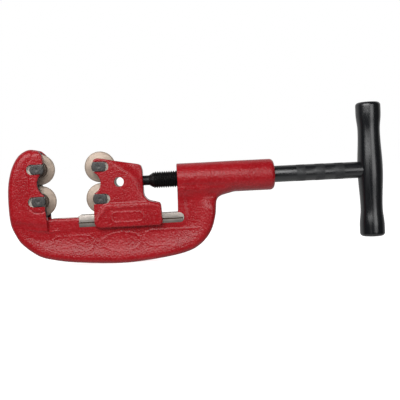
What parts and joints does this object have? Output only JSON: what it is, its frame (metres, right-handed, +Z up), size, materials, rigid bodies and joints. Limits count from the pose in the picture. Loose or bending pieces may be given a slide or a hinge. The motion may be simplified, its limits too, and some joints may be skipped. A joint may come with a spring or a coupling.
{
  "type": "pipe cutter",
  "caption": "Heavy-duty hand pipe cutter: cast C-shaped frame, sliding jaw on machined ways, cutting wheels on pins, feed screw through a long barrel and a waisted T-handle.",
  "frame": {"origin": "middle of the bounding box in X and Y, at the lowest point of the belly", "axes": "+X along the feed screw towards the T-handle, +Z up out of the throat, Y across the cheeks; the wheels lie in the plane Y = 0"},
  "size_m": [0.422, 0.0392, 0.1667],
  "materials": {
    "red_enamel": "gloss red enamel sprayed on sand-cast malleable iron",
    "wheel_steel": "turned and hardened tool steel",
    "pin_steel": "dark heat-treated steel, turned",
    "spring_steel": "bright spring steel",
    "black_screw": "black-oxided steel, oiled",
    "black_enamel": "gloss black enamel on forged steel"
  },
  "bodies": {
    "frame": {"frame_casting": "red_enamel", "jaw_pin_upper": "pin_steel", "jaw_pin_lower": "pin_steel", "jaw_clip_upper": "spring_steel", "jaw_clip_lower": "spring_steel"},
    "slide": {"slide_casting": "red_enamel", "slide_pin_upper": "pin_steel", "slide_pin_lower": "pin_steel", "slide_clip_upper": "spring_steel", "slide_clip_lower": "spring_steel", "screw_retaining_pin_near": "spring_steel", "screw_retaining_pin_far": "spring_steel", "thrust_button": "pin_steel"},
    "screw": {"feed_screw": "black_screw", "t_handle": "black_enamel", "handle_set_screw": "pin_steel"},
    "jaw_wheel_a": {"jaw_wheel_upper": "wheel_steel"},
    "jaw_wheel_b": {"jaw_wheel_lower": "wheel_steel"},
    "slide_wheel_a": {"slide_wheel_upper": "wheel_steel"},
    "slide_wheel_b": {"slide_wheel_lower": "wheel_steel"}
  },
  "joints": [
    {"name": "slide_feed", "type": "slide", "parent": "frame", "child": "slide", "axis": [-1, 0, 0], "range_m": [-0.0255, 0.021]},
    {"name": "screw_turn", "type": "hinge", "parent": "slide", "child": "screw", "pos_m": [-0.02435, 0, 0.0905], "axis": [-1, 0, 0], "range_deg": [-3600, 2970]},
    {"name": "jaw_wheel_upper_spin", "type": "hinge", "parent": "frame", "child": "jaw_wheel_a", "pos_m": [-0.17655, 0, 0.10815], "axis": [0, 1, 0], "continuous": true},
    {"name": "jaw_wheel_lower_spin", "type": "hinge", "parent": "frame", "child": "jaw_wheel_b", "pos_m": [-0.17655, 0, 0.07285], "axis": [0, 1, 0], "continuous": true},
    {"name": "slide_wheel_upper_spin", "type": "hinge", "parent": "slide", "child": "slide_wheel_a", "pos_m": [-0.10925, 0, 0.10815], "axis": [0, 1, 0], "continuous": true},
    {"name": "slide_wheel_lower_spin", "type": "hinge", "parent": "slide", "child": "slide_wheel_b", "pos_m": [-0.10925, 0, 0.07285], "axis": [0, 1, 0], "continuous": true}
  ],
  "couplings": [
    {"joint": "slide_feed", "follows": "screw_turn", "m_per_rad": 0.00040425}
  ]
}
